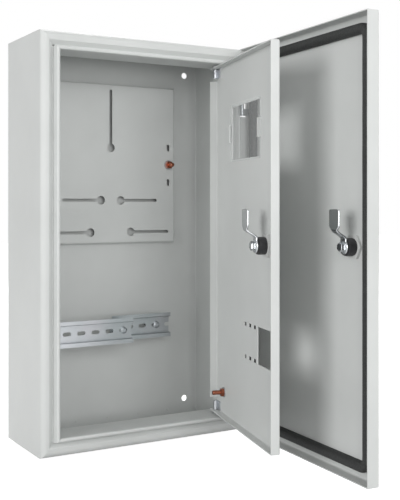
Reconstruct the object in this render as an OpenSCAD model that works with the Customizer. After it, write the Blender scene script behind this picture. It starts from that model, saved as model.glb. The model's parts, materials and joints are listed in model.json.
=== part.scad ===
// Wall-mounted sheet-steel electric meter box with two doors.
// Frame: X to the right, Y into the wall, Z up. The origin is the centre of the four
// wall holes, on the outer plane of the back. Both doors stand open, as stored values.

/* [Casing] */
// Width over the side walls
box_w = 300; // [240:5:400]
// Height over the top and bottom walls
box_h = 540; // [480:5:700]
// Depth from the wall to the front land of the casing
box_d = 130; // [125:1:160]
// Thickness of the painted sheet
sheet_t = 1.2; // [1:0.1:1.4]
// Outer radius of the bend between a wall and the front land
front_bend_r = 8; // [6:0.5:9]
// Outer radius of the two vertical back bends
back_bend_r = 3; // [2.5:0.5:6]
// Width of the frame at each side, from the outer face to the opening
side_rim = 23; // [23:1:26]
// Width of the frame at the top and the bottom
cap_rim = 25; // [24:1:30]
// Width of the rain gutter and the sealing crest together
gutter_w = 13; // [12:0.5:14]
// Depth of the gutter behind the land
gutter_d = 2.5; // [1.5:0.5:4]
// Height of the sealing crest in front of the land
crest_h = 7; // [5:0.5:9]
// Width of the sealing crest
crest_w = 4.8; // [4.5:0.1:5.5]
// Depth of the return flange, from the crest towards the back
return_d = 49.5; // [47:0.5:50]
// Distance from the side to the seam at the bottom corners
bottom_seam = 18; // [16:0.5:20]

/* [Wall fixing] */
// Distance of the wall holes from the sides
wall_hole_side = 22; // [16:1:60]
// Distance of the wall holes from the top and the bottom
wall_hole_end = 24; // [16:1:60]
// Diameter of a wall hole
wall_hole_d = 9; // [6:0.5:12]

/* [Cable entries] */
// Diameter of the outer knock-outs in the bottom
knockout_d = 33; // [20:1:40]
// Distance between the knock-outs
knockout_pitch = 70; // [50:1:80]
// Width of the scored groove
score_w = 0.8; // [0.6:0.1:1.2]
// Depth of the scored groove
score_d = 0.6; // [0.3:0.1:0.8]

/* [Meter plate] */
// Width of the meter plate
plate_w = 210; // [200:1:230]
// Height of the meter plate
plate_h = 230; // [220:1:240]
// Height of the lower edge of the plate above the middle of the box
plate_z = -6.5; // [-20:0.5:0]
// Distance from the back wall to the front of the plate
plate_d = 10.8; // [8:0.1:20]
// Outer bend radius of the plate
plate_bend_r = 2.5; // [2:0.5:4]
// Width of the meter slots
slot_w = 4.5; // [4:0.5:6]
// Diameter of the round end of a meter slot
keyhole_d = 12.5; // [10:0.5:14]

/* [Rails] */
// Length of the front rail
front_rail_l = 130; // [128:1:140]
// Right-hand end of the front rail
front_rail_x = 7.5; // [4:0.5:9]
// Distance of the front rail's lips from the outer plane of the back
front_rail_y = 70; // [60:0.5:74]
// Length of the rear rail
rear_rail_l = 94; // [93:1:110]
// Right-hand end of the rear rail
rear_rail_x = 82; // [78:0.5:83]
// Distance of the rear rail's lips from the outer plane of the back
rear_rail_y = 42; // [28:0.5:46]
// Height of the rails' middle
rail_z = -125.5; // [-140:0.5:-110]
// Height over the lips of a rail
rail_h = 35; // [35:0.5:36]
// Depth of a rail
rail_d = 7.5; // [7:0.5:8]
// Thickness of a rail
rail_t = 1; // [1:0.1:1.2]

/* [Outer door] */
// Gap between the edge of the door and the side of the box
outer_inset = 1; // [0.5:0.5:3]
// Depth of the door, from its face to the tips of its flanges
outer_d = 17; // [16.5:0.5:20]
// Gap between the land and the tips of the flanges
outer_gap = 1; // [0:0.5:2]
// Outer bend radius of the door
outer_bend_r = 3; // [2.5:0.5:4]
// Angle at which the door stands open
outer_open = 85.5; // [0:0.5:100]
// Distance of the hinge pin from the edge of the door
outer_pin_x = 2; // [2:0.5:3]
// Distance of the hinge pin in front of the land
outer_pin_y = 3; // [3:0.5:5]
// Distance of each hinge from the top or the bottom of the box
outer_hinge_end = 80; // [50:1:150]
// Width of the foam seal
seal_w = 12; // [10:0.5:13]
// Distance from the edge of the box to the middle of the seal
seal_in = 17.2; // [16.5:0.1:18]
// Gap between the foam seal and the crest when the door is closed
seal_gap = 0.4; // [0.3:0.1:1]

/* [Inner door] */
// Gap above and below the inner door in the opening
inner_gap = 3; // [2.5:0.5:5]
// Gap at each side of the inner door in the opening
inner_side_gap = 4; // [3:0.5:5]
// Distance of the face of the inner door behind the land
inner_y = 15; // [14:0.5:17]
// Depth of the inner door
inner_d = 11.5; // [10:0.5:14]
// Outer bend radius of the inner door
inner_bend_r = 2; // [1.5:0.5:3]
// Angle at which the inner door stands open
inner_open = 75.5; // [0:0.5:90]
// Distance of the hinge pin from the edge of the door
inner_pin_x = 5.5; // [5:0.5:6.5]
// Outer diameter of a hinge barrel
barrel_od = 7; // [6.5:0.5:8]

/* [Window and breaker slot] */
// Width of the meter window
window_w = 110; // [60:1:140]
// Height of the meter window
window_h = 71; // [40:1:100]
// Height of the middle of the window
window_z = 145; // [120:1:170]
// Sideways place of the middle of the window
window_x = -2; // [-20:0.5:20]
// Thickness of the clear pane
pane_t = 1.5; // [1:0.1:2]
// Width of one breaker module
module_w = 18; // [17.5:0.1:18]
// Number of modules that are cut open
open_modules = 3; // [1:1:4]
// Number of modules that are only perforated
closed_modules = 3; // [0:1:4]
// Bridge between the open and the perforated modules
module_gap = 2; // [0:0.5:4]
// Height of the breaker slot
breaker_h = 47; // [45:0.5:50]
// Distance from the free edge of the inner door to the open modules
breaker_edge = 21; // [18:0.5:40]

/* [Locks] */
// Distance from the side of the box to the lock in the outer door
outer_lock_in = 47.5; // [47:0.5:52]
// Distance from the free edge of the inner door to its lock
inner_lock_in = 39; // [37:0.5:39.5]
// Diameter of the lock barrel
barrel_d = 21; // [18:0.5:22]
// Width of the lock nut across its flats
nut_af = 27; // [24:0.5:30]
// Thickness of the lock nut
nut_t = 3.5; // [3:0.5:5]
// Reach of the cam from the lock's axis
cam_reach = 44.5; // [44:0.5:45]
// Width of the cam's blade
cam_w = 20; // [14:0.5:22]
// Thickness of the cam
cam_t = 2.5; // [2:0.5:3]

/* [Hidden] */
$fn = 48;
// Overrun of a cut past the face that it opens
cut = 1;
// Steps along a bend of the sheet
bend_steps = 6;
// Radius of the two bends of the gutter, at the middle of the sheet
gutter_bend_r = 1.5;
// Share of the gutter's width over which the land falls into it
fall_share = 0.55;
// Flat land between a front bend and the seam, and between the seam and the gutter
bend_play = 0.5;
seam_in = 0.5;
crest_r = (crest_w - sheet_t) / 2;
side_land = side_rim - gutter_w;
cap_land = cap_rim - gutter_w;
crest_y = -(box_d + crest_h);
return_y = crest_y + return_d;
bend_edge = front_bend_r + bend_play;
top_seam = cap_land - seam_in;
side_seam = side_land - seam_in;
wall_hole_x = box_w - 2 * wall_hole_side;
wall_hole_z = box_h - 2 * wall_hole_end;
outer_hinge_z = box_h / 2 - outer_hinge_end;
outer_lock_x = outer_lock_in - box_w / 2;
// Grid that the points of the sheet's outlines lie on
grid = 0.001;

// Height of the cam above the inside of the door, and its offset at the crank
cam_base_z = 14;
cam_crank = 13;
cam_blade_y = cam_base_z + cam_crank + cam_t / 2;
outer_face = box_d + outer_gap + outer_d;
latch_y = sheet_t + cam_blade_y - outer_face;
latch_play = 2.25;
seal_t = outer_d + outer_gap - sheet_t - crest_h - seal_gap;

paint = [0.74, 0.75, 0.75];
zinc = [0.72, 0.74, 0.76];
copper = [0.62, 0.33, 0.24];
black = [0.06, 0.06, 0.065];

// Points of an arc about a centre, from one angle to another
function arc(c, r, a0, a1, n = bend_steps) =
    [for (i = [0:n]) let (a = a0 + (a1 - a0) * i / n) [c[0] + r * cos(a), c[1] + r * sin(a)]];

function unit(v) = v / norm(v);
function left(v) = [-v[1], v[0]];

// Bend of radius r at the corner b of a path that comes from a and goes on to c
function bend(a, b, c, r, n = bend_steps) =
    let (p = unit(a - b), q = unit(c - b), half = acos(p * q) / 2,
         m = b + unit(p + q) * r / sin(half),
         s = p * r / tan(half) + b - m, e = q * r / tan(half) + b - m,
         a0 = atan2(s[1], s[0]), raw = atan2(e[1], e[0]) - a0,
         turn = raw > 180 ? raw - 360 : raw < -180 ? raw + 360 : raw)
    arc(m, r, a0, a0 + turn, n);

// Path along straight lines with a bend at each of its inner points
function folded(points, radii) = let (last = len(points) - 1)
    concat([points[0]], [for (i = [1:last - 1])
        each bend(points[i - 1], points[i], points[i + 1], radii[i - 1])], [points[last]]);

// Path without points that repeat the one before
function tidy(path) = [for (i = [0:len(path) - 1])
    if (i == 0 || norm(path[i] - path[i - 1]) > sheet_t / 100) path[i]];

// Offset of one point of a path to its left, mitred at the corner
function mitre(path, i, d) =
    let (last = len(path) - 1,
         a = i == 0 ? unit(path[1] - path[0]) : unit(path[i] - path[i - 1]),
         b = i == last ? a : unit(path[i + 1] - path[i]),
         m = unit(left(a) + left(b)))
    path[i] + m * d / (m * left(a));

// Point on a fine grid, so that outlines that continue each other meet exactly
function snapped(p) = [for (x = p) round(x / grid) * grid];

// Outline of a sheet of thickness t whose middle follows the path
function band(raw, t = sheet_t) =
    let (path = tidy(raw), last = len(path) - 1)
    [for (p = concat([for (i = [0:last]) mitre(path, i, t / 2)],
                     [for (i = [last:-1:0]) mitre(path, i, -t / 2)])) snapped(p)];

// Middle line of a wall's front bend: u runs inwards from the wall, v forwards from the land
bend_line = arc([front_bend_r, -front_bend_r], front_bend_r - sheet_t / 2, 180, 90);

// Middle line of the gutter, the crest and the return flange of a frame of width rim
function rim_line(rim) =
    let (low = -gutter_d - sheet_t / 2, high = crest_h - sheet_t / 2,
         inner = rim - sheet_t / 2)
    folded([[front_bend_r, -sheet_t / 2], [rim - gutter_w, -sheet_t / 2],
            [rim - gutter_w * (1 - fall_share), low], [inner - 2 * crest_r, high],
            [inner, high], [inner, crest_h - return_d]],
           [gutter_bend_r, gutter_bend_r, crest_r, crest_r]);

// Puts a corner's own axes, u inwards, w inwards and v forwards, at a corner of the front
module at_corner(right, top)
    mirror([right ? 1 : 0, 0, 0]) mirror([0, 0, top ? 1 : 0])
        translate([-box_w / 2, -box_d, -box_h / 2]) rotate([90, 0, 0]) children();

// Outline in u and v, carried along w
module along_w(w0, w1) translate([0, w1, 0]) rotate([90, 0, 0]) linear_extrude(w1 - w0) children();

// Outline in w and v, carried along u
module along_u(u0, u1) translate([u0, 0, 0]) rotate([90, 0, 90]) linear_extrude(u1 - u0) children();

// Front bend of a wall and the land up to a width
module bend_outline(width) polygon(band(concat(bend_line, [[width, -sheet_t / 2]])));

// Section of a cap's front: its bend, land, gutter, crest and return flange
module front_section() polygon(band(concat(bend_line, rim_line(cap_rim))));

// Prism over an outline in u and w, from depth v0 to in front of the crest
module front_prism(points, v0 = -front_bend_r)
    translate([0, 0, v0]) linear_extrude(crest_h + cut - v0) polygon(points);

// The gutters of a side and a cap meet in a mitre that runs through the corner of the opening
mitre_start = [side_seam, top_seam];
mitre_end = [side_rim, cap_rim];
past_mitre = [side_rim + cut, cap_rim + cut];

// Round relief where the gutters of the side and the top meet
module corner_relief() translate([side_rim - gutter_w * (1 - fall_share),
        cap_rim - gutter_w * (1 - fall_share), -gutter_d - sheet_t - cut])
    cylinder(d = corner_relief_d, h = gutter_d + sheet_t + crest_h + 2 * cut);
corner_relief_d = 2.4;

/* Casing */

// Horizontal section of the folded wrap: back, two sides and their front profiles
function wrap_half() = concat(
    [[0, -sheet_t / 2]],
    arc([box_w / 2 - back_bend_r, -back_bend_r], back_bend_r - sheet_t / 2, 90, 0),
    [for (p = concat(bend_line, rim_line(side_rim))) [box_w / 2 - p[0], -box_d - p[1]]]);

module wrap_section() {
    half = wrap_half();
    last = len(half) - 1;
    polygon(band(concat([for (i = [last:-1:1]) half[i]],
                        [for (i = [1:last]) [-half[i][0], half[i][1]]])));
}

// Slot in the left return flange that takes the outer door's cam
// and leaves room for its swing from upright to outwards
module latch_slot() {
    low = -cam_w / 2 - latch_play;
    high = norm([cam_reach, cam_w / 2]) + latch_play;
    translate([-box_w / 2 + side_rim - sheet_t - cut, latch_y - cam_t / 2 - latch_play, low])
        cube([sheet_t + 2 * cut, cam_t + 2 * latch_play, high - low]);
}

weld_pip_d = 4;
weld_pip_h = 0.5;
weld_pip_pitch = 49.5;
weld_pip_z = 10;

module casing_wrap() color(paint) {
    difference() {
        translate([0, 0, -box_h / 2]) linear_extrude(box_h) wrap_section();
        for (right = [false, true]) {
            at_corner(right, true) {
                front_prism([[-cut, -cut], [bend_edge, -cut], [bend_edge, top_seam],
                             [-cut, top_seam]]);
                front_prism([[bend_edge, -cut], [past_mitre[0], -cut], past_mitre, mitre_start,
                             [bend_edge, top_seam]], -return_d);
                corner_relief();
            }
            at_corner(right, false) {
                front_prism([[-cut, -cut], [bend_edge, -cut], [bend_edge, bend_edge]]);
                front_prism([[bend_edge, -cut], [past_mitre[0], -cut], past_mitre, mitre_start,
                             [bend_edge, top_seam]], -return_d);
            }
        }
        for (x = [-1, 1], z = [-1, 1])
            translate([x * wall_hole_x / 2, cut, z * wall_hole_z / 2]) rotate([90, 0, 0])
                cylinder(d = wall_hole_d, h = sheet_t + 2 * cut);
        latch_slot();
    }
    for (right = [false, true]) at_corner(right, false) intersection() {
        along_u(0, bottom_seam) bend_outline(top_seam);
        front_prism([[0, 0], [bottom_seam, 0], [bottom_seam, top_seam], [bend_edge, top_seam],
                     [bend_edge, bend_edge]]);
    }
    for (i = [-2:2])
        translate([i * weld_pip_pitch, -sheet_t, -box_h / 2 + weld_pip_z]) rotate([90, 0, 0])
            cylinder(d1 = weld_pip_d, d2 = weld_pip_d / 2, h = weld_pip_h);
}

// Full section of a cap: its wall, bend, land, gutter, crest and return flange
module cap_section()
    polygon(band(concat([[sheet_t / 2, sheet_t - box_d]], bend_line, rim_line(cap_rim))));

// One cap without its corners, in the axes of the corner at its left end
module cap_run() {
    along_u(side_rim, box_w - side_rim) cap_section();
    translate([sheet_t, 0, sheet_t - box_d])
        cube([box_w - 2 * sheet_t, sheet_t, box_d - sheet_t - front_bend_r]);
}

// Hole in a cap's return flange for the pin of an inner hinge
module pin_hole(s) translate([inner_axis[0], inner_axis[1], s * (box_h / 2 - cap_rim + sheet_t / 2)])
    cylinder(d = inner_pin_d, h = sheet_t + 2 * cut, center = true);

module top_cap() color(paint) {
    difference() {
        union() {
            at_corner(false, true) cap_run();
            for (right = [false, true]) at_corner(right, true) {
                intersection() {
                    along_w(0, top_seam) bend_outline(bend_edge);
                    front_prism([[0, 0], [bend_edge, bend_edge], [bend_edge, top_seam],
                                 [0, top_seam]]);
                }
                intersection() {
                    along_u(0, bend_edge) bend_outline(bend_edge);
                    front_prism([[0, 0], [bend_edge, 0], [bend_edge, bend_edge]]);
                }
                intersection() {
                    along_u(bend_edge, side_rim) front_section();
                    front_prism([[bend_edge, 0], [side_rim, 0], mitre_end, mitre_start,
                                 [bend_edge, top_seam]], -return_d);
                }
            }
        }
        pin_hole(1);
        for (right = [false, true]) at_corner(right, true) corner_relief();
    }
}

module score_ring(d)
    rotate_extrude() translate([d / 2 - score_w / 2, -cut]) square([score_w, cut + score_d]);

module bottom_cap() color(paint) difference() {
    union() {
        at_corner(false, false) cap_run();
        for (right = [false, true]) at_corner(right, false) intersection() {
            along_u(side_seam, side_rim) front_section();
            front_prism([[bottom_seam, 0], [side_rim, 0], mitre_end, mitre_start,
                         [bottom_seam, top_seam]], -return_d);
        }
    }
    pin_hole(-1);
    for (i = [-1:1]) translate([i * knockout_pitch, -box_d / 2, -box_h / 2])
        score_ring(knockout_d);
}

/* Folded panels */

// Middle line of one folded edge of a panel, x from the edge and y back from the face
function fold_line(depth, r) = concat([[sheet_t / 2, -depth]],
    arc([r, -r], r - sheet_t / 2, 180, 90));

// Folded panel with four flanges, its face at z = 0 and its flanges towards -z
module tray(w, h, depth, r) {
    for (turn = [0, 1], side = [0, 1]) {
        across = turn == 0 ? w : h;
        along = turn == 0 ? h : w;
        rotate([0, 0, 90 * turn + 180 * side]) translate([-across / 2, 0, 0]) intersection() {
            translate([0, along / 2, 0]) rotate([90, 0, 0]) linear_extrude(along)
                polygon(band(fold_line(depth, r)));
            translate([0, 0, -depth - cut]) linear_extrude(depth + 2 * cut)
                polygon([[0, -along / 2], [r, -along / 2 + r], [r, along / 2 - r], [0, along / 2]]);
        }
    }
    translate([-w / 2 + r, -h / 2 + r, -sheet_t]) cube([w - 2 * r, h - 2 * r, sheet_t]);
}

// Puts a panel's own axes, x to the right, y up and z forwards, at a distance from the wall
module face_at(y, x = 0, z = 0) translate([x, -y, z]) rotate([90, 0, 0]) children();

/* Meter plate */

plate_y = sheet_t + plate_d;
plate_mid_z = plate_z + plate_h / 2;
// Places of the meter slots as shares of the plate's size, from its middle
top_slot_shares = [0.456, 0.1];
upper_row_share = -0.23;
lower_row_share = -0.431;
upper_hole_share = 0.0745;
lower_hole_share = 0.152;
upper_end_share = 0.347;
lower_end_share = 0.438;
side_slot_shares = [0.111, -0.113];
side_slot_l = 10;
side_slot_x = 11;
earth_share = 0.001;
earth_x = 10.5;
earth_hole_d = 6.4;

// Round hole with a slot that runs from it to a rounded end
module keyhole(from, to) {
    run = to - from;
    translate(from) circle(d = keyhole_d);
    translate(to) circle(d = slot_w);
    translate(from) rotate(atan2(run[1], run[0])) translate([0, -slot_w / 2])
        square([norm(run), slot_w]);
}

module meter_plate() color(paint) difference() {
    face_at(plate_y, 0, plate_mid_z) tray(plate_w, plate_h, plate_d, plate_bend_r);
    face_at(plate_y - sheet_t - cut, 0, plate_mid_z) linear_extrude(sheet_t + 2 * cut) {
        keyhole([0, top_slot_shares[1] * plate_h], [0, top_slot_shares[0] * plate_h]);
        for (s = [-1, 1]) {
            keyhole([s * upper_hole_share * plate_w, upper_row_share * plate_h],
                    [s * upper_end_share * plate_w, upper_row_share * plate_h]);
            keyhole([s * lower_hole_share * plate_w, lower_row_share * plate_h],
                    [s * lower_end_share * plate_w, lower_row_share * plate_h]);
            for (share = side_slot_shares)
                translate([s * (plate_w / 2 - side_slot_x), share * plate_h]) {
                    translate([0, side_slot_l / 2 - slot_w / 2]) circle(d = slot_w);
                    translate([0, slot_w / 2 - side_slot_l / 2]) circle(d = slot_w);
                    square([slot_w, side_slot_l - slot_w], center = true);
                }
        }
        translate([plate_w / 2 - earth_x, earth_share * plate_h]) circle(d = earth_hole_d);
    }
}

/* Earth studs */

stud_d = 6;
stud_head_d = 11;
stud_head_t = 1.5;
stud_l = 17;
washer_t = 1.2;
washer_d = 14;
earth_nut_af = 10;
earth_nut_t = 4;
stud_tip = 0.6;
plate_stud_l = 14;

// Stud through a sheet: head behind the sheet, shank forwards, sheet face at z = 0
module earth_stud(length) color(copper) {
    translate([0, 0, -sheet_t - stud_head_t]) cylinder(d = stud_head_d, h = stud_head_t);
    translate([0, 0, -sheet_t]) cylinder(d = stud_d, h = length + sheet_t - stud_tip);
    translate([0, 0, length - stud_tip]) cylinder(d1 = stud_d, d2 = stud_d - 2 * stud_tip, h = stud_tip);
}
module earth_washer() color(zinc) difference() {
    cylinder(d = washer_d, h = washer_t);
    translate([0, 0, -cut]) cylinder(d = stud_d, h = washer_t + 2 * cut);
}
module hex_nut(af, t, bore) difference() {
    cylinder(d = af / cos(30), h = t, $fn = 6);
    translate([0, 0, -cut]) cylinder(d = bore, h = t + 2 * cut);
}

module at_plate_earth() face_at(plate_y, plate_w / 2 - earth_x,
                                plate_mid_z + earth_share * plate_h) children();
module plate_earth_stud() at_plate_earth() earth_stud(plate_stud_l);
module plate_earth_washer() at_plate_earth() earth_washer();
module plate_earth_nut() color(copper) at_plate_earth() translate([0, 0, washer_t])
    hex_nut(earth_nut_af, earth_nut_t, stud_d);

/* Rails */

rail_slot_l = 12;
rail_slot_w = 5.5;
rail_pitch = 21;
rail_web_h = 25;
rail_screw_d = 5;
rail_hole_d = 5.4;
rail_head_d = 9.5;
rail_head_t = 3;
post_af = 9;
// Places along each rail from its right-hand end: the first slot and the screw
front_slot_x = 12.5;
rear_slot_x = 1;
rear_screw_x = 20.5;
// Place of the far screw of the front rail, from its left-hand end
front_far_x = 7.5;
screw_l = 10;
screw_rim_share = 0.45;
screw_top_share = 0.6;
recess_w = 1;
recess_share = 0.5;

// Section of a top-hat rail: x up, y forwards, lips at y = 0
module rail_section() {
    h = rail_h / 2;
    k = rail_web_h / 2 - rail_t / 2;
    low = rail_t / 2 - rail_d;
    high = -rail_t / 2;
    r = rail_t;
    polygon(band(concat([[-h, high]], arc([-k - r, high - r], r, 90, 0, 3),
        arc([-k + r, low + r], r, 180, 270, 3), arc([k - r, low + r], r, 270, 360, 3),
        arc([k + r, high - r], r, 180, 90, 3), [[h, high]]), rail_t));
}

module rail_slot() {
    translate([rail_slot_l / 2 - rail_slot_w / 2, 0]) circle(d = rail_slot_w);
    translate([rail_slot_w / 2 - rail_slot_l / 2, 0]) circle(d = rail_slot_w);
    square([rail_slot_l - rail_slot_w, rail_slot_w], center = true);
}

// Rail from its right-hand end leftwards, with slots and screw holes measured from that end
module rail(length, right_x, y, slots, holes)
    color(zinc) face_at(y, right_x, rail_z) difference() {
        rotate([0, -90, 0]) linear_extrude(length) rail_section_turned();
        for (x = slots) translate([-x, 0, -rail_d - cut]) linear_extrude(rail_t + 2 * cut)
            rail_slot();
        for (x = holes) translate([-x, 0, -rail_d - cut])
            cylinder(d = rail_hole_d, h = rail_t + 2 * cut);
    }
module rail_section_turned() mirror([1, 0]) rotate(90) rail_section();

front_slots = [for (x = [front_slot_x:rail_pitch:front_rail_l - rail_slot_l - front_far_x]) x];
rear_slots = [for (x = [rear_slot_x:rail_pitch:rear_rail_l - rail_slot_l / 2]) x];
front_web_y = front_rail_y - rail_d;
rear_web_y = rear_rail_y - rail_d;
joint_x = front_rail_x - front_slot_x;
wall_post_x = rear_rail_x - rear_screw_x;
far_post_x = front_rail_x - front_rail_l + front_far_x;

module front_rail() rail(front_rail_l, front_rail_x, front_rail_y, front_slots,
                         [front_rail_l - front_far_x]);
module rear_rail() rail(rear_rail_l, rear_rail_x, rear_rail_y, rear_slots, []);

module hex_post(y0, y1, x) face_at(y0, x, rail_z) difference() {
    cylinder(d = post_af / cos(30), h = y1 - y0, $fn = 6);
    translate([0, 0, -cut]) cylinder(d = rail_screw_d, h = y1 - y0 + 2 * cut);
}
module rail_wall_posts() color(zinc) {
    hex_post(sheet_t, rear_web_y, wall_post_x);
    hex_post(sheet_t, front_web_y, far_post_x);
}
module rail_spacer() color(zinc) hex_post(rear_web_y + rail_t, front_web_y, joint_x);

// Pan-head screw, head on top of z = 0 and shank below, with a cross recess
module pan_screw(shank) difference() {
    union() {
        translate([0, 0, -shank]) cylinder(d = rail_screw_d, h = shank + rail_head_t / 2);
        cylinder(d = rail_head_d, h = rail_head_t * screw_rim_share);
        translate([0, 0, rail_head_t * screw_rim_share])
            cylinder(d1 = rail_head_d, d2 = rail_head_d * screw_top_share,
                     h = rail_head_t * (1 - screw_rim_share));
    }
    for (a = [0, 90]) rotate([0, 0, a]) translate([0, 0, rail_head_t])
        cube([rail_head_d * recess_share, recess_w, rail_head_t], center = true);
}
module rail_screws() color(zinc) {
    face_at(front_web_y + rail_t, joint_x, rail_z) pan_screw(screw_l);
    face_at(front_web_y + rail_t, far_post_x, rail_z) pan_screw(screw_l);
    face_at(rear_web_y + rail_t, wall_post_x, rail_z) pan_screw(screw_l);
}

/* Outer door */

outer_w = box_w - 2 * outer_inset;
outer_h = box_h - 2 * outer_inset;
outer_axis = [box_w / 2 - outer_inset - outer_pin_x, -(box_d + outer_pin_y)];
knuckle_d = 6;
outer_pin_d = 3;
pin_play = 0.05;
knuckle_l = 10;
knuckle_gap = 0.3;
hinge_window_play = 1;
hinge_window_h = 3 * knuckle_l + 4 * knuckle_gap + 2 * hinge_window_play;
hinge_window_d = 8.5;
leaf_t = 2;
pin_head_d = 5;
pin_head_t = 1.2;

// Turns a closed door's part about the hinge to where the door stands
module on_outer_door() translate([outer_axis[0], outer_axis[1], 0]) rotate([0, 0, outer_open])
    translate([-outer_axis[0], -outer_axis[1], 0]) children();

module outer_door() color(paint) on_outer_door() difference() {
    face_at(outer_face) tray(outer_w, outer_h, outer_d, outer_bend_r);
    for (z = [-1, 1])
        translate([outer_w / 2 - sheet_t - outer_bend_r, outer_d - outer_face - hinge_window_d,
                   z * outer_hinge_z - hinge_window_h / 2])
            cube([sheet_t + outer_bend_r + cut, hinge_window_d + cut, hinge_window_h]);
    lock_hole(outer_face, outer_lock_x);
}

// Radius of the seal's corners, at its middle, and the share of its height that is crowned
seal_r = seal_w;
crown_share = 0.45;

// Section of the foam seal: flat on the door, crowned towards the frame
module seal_section() {
    crown = seal_t * crown_share;
    polygon(concat([[-seal_w / 2, 0]],
        [for (i = [-bend_steps:bend_steps]) let (s = i / bend_steps)
            [s * seal_w / 2, seal_t - crown * s * s]],
        [[seal_w / 2, 0]]));
}

module outer_door_seal() color(black) on_outer_door()
    translate([0, sheet_t - outer_face, 0]) rotate([-90, 0, 0]) {
        w = box_w / 2 - seal_in;
        h = box_h / 2 - seal_in;
        for (s = [-1, 1]) {
            translate([s * w, h - seal_r, 0]) rotate([90, 0, 0]) linear_extrude(2 * (h - seal_r))
                seal_section();
            translate([-w + seal_r, s * h, 0]) rotate([90, 0, 90])
                linear_extrude(2 * (w - seal_r)) seal_section();
            for (q = [-1, 1]) translate([s * (w - seal_r), q * (h - seal_r), 0])
                rotate([0, 0, s > 0 ? (q > 0 ? 0 : 270) : (q > 0 ? 90 : 180)])
                    rotate_extrude(angle = 90) translate([seal_r, 0]) seal_section();
        }
    }

module knuckle(z, od, id, length) translate([outer_axis[0], outer_axis[1], z - length / 2])
    difference() {
        cylinder(d = od, h = length);
        translate([0, 0, -cut]) cylinder(d = id, h = length + 2 * cut);
    }

// Frame half of an outer hinge: a knuckle on a short leaf that is welded to the front bend
module hinge_leaf(z) color(zinc) {
    knuckle(z, knuckle_d, outer_pin_d + 2 * pin_play, knuckle_l);
    difference() {
        translate([outer_axis[0] - leaf_t / 2, outer_axis[1], z - knuckle_l / 2])
            cube([leaf_t, front_bend_r, knuckle_l]);
        translate([outer_axis[0], outer_axis[1], z - knuckle_l])
            cylinder(d = knuckle_d - leaf_t, h = 2 * knuckle_l);
        translate([box_w / 2 - front_bend_r, front_bend_r - box_d, z - knuckle_l])
            cylinder(r = front_bend_r, h = 2 * knuckle_l);
    }
}
module outer_hinge_upper_leaf() hinge_leaf(outer_hinge_z);
module outer_hinge_lower_leaf() hinge_leaf(-outer_hinge_z);

// Door half of an outer hinge: two eyes on a leg that is welded to the inside of the face
module hinge_eyes(z) color(zinc) on_outer_door() {
    step = knuckle_l + knuckle_gap;
    leg_x = outer_axis[0] - knuckle_d / 2;
    for (s = [-1, 1]) {
        knuckle(z + s * step, knuckle_d, outer_pin_d, knuckle_l);
        difference() {
            translate([leg_x, sheet_t - outer_face, z + s * step - knuckle_l / 2])
                cube([leaf_t, outer_face - sheet_t + outer_axis[1], knuckle_l]);
            translate([outer_axis[0], outer_axis[1], z - 2 * step])
                cylinder(d = knuckle_d - leaf_t, h = 4 * step);
        }
    }
}
module outer_hinge_upper_eyes() hinge_eyes(outer_hinge_z);
module outer_hinge_lower_eyes() hinge_eyes(-outer_hinge_z);

module hinge_pin(z) color(zinc) on_outer_door() {
    length = 3 * knuckle_l + 2 * knuckle_gap;
    translate([outer_axis[0], outer_axis[1], z - length / 2]) {
        cylinder(d = outer_pin_d, h = length);
        translate([0, 0, length]) cylinder(d = pin_head_d, h = pin_head_t);
    }
}
module outer_hinge_upper_pin() hinge_pin(outer_hinge_z);
module outer_hinge_lower_pin() hinge_pin(-outer_hinge_z);

/* Inner door */

inner_w = box_w - 2 * side_rim - 2 * inner_side_gap;
inner_h = box_h - 2 * cap_rim - 2 * inner_gap;
inner_face = box_d - inner_y;
inner_pin_y = sheet_t + barrel_od / 2;
inner_axis = [inner_w / 2 - inner_pin_x, inner_pin_y - inner_face];
inner_lock_x = inner_lock_in - inner_w / 2;
breaker_x = breaker_edge + open_modules * module_w - inner_w / 2;
inner_pin_d = 4;
barrel_l = 12;
barrel_leaf_w = 12;
barrel_leaf_t = 1.5;
pin_reach = 14;
rivet_d = 7;
rivet_t = 1.5;
hinge_washer_d = 9;
hinge_washer_play = 0.2;
hinge_washer_t = inner_gap - 2 * hinge_washer_play;
inner_notch_h = 18;
flange_hole_d = 5;

module on_inner_door() translate([inner_axis[0], inner_axis[1], 0]) rotate([0, 0, inner_open])
    translate([-inner_axis[0], -inner_axis[1], 0]) children();

tab_h = 24;
tab_t = sheet_t;
tab_gap = 3;
tab_play = 0.3;
pane_bow = 1;
tab_out = pane_t + pane_bow + tab_play + tab_t;
perf_w = 10;
perf_h = 5;
relief_d = 3;
breaker_z = rail_z;
door_stud_x = 34;
door_stud_z = 31;

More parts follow.
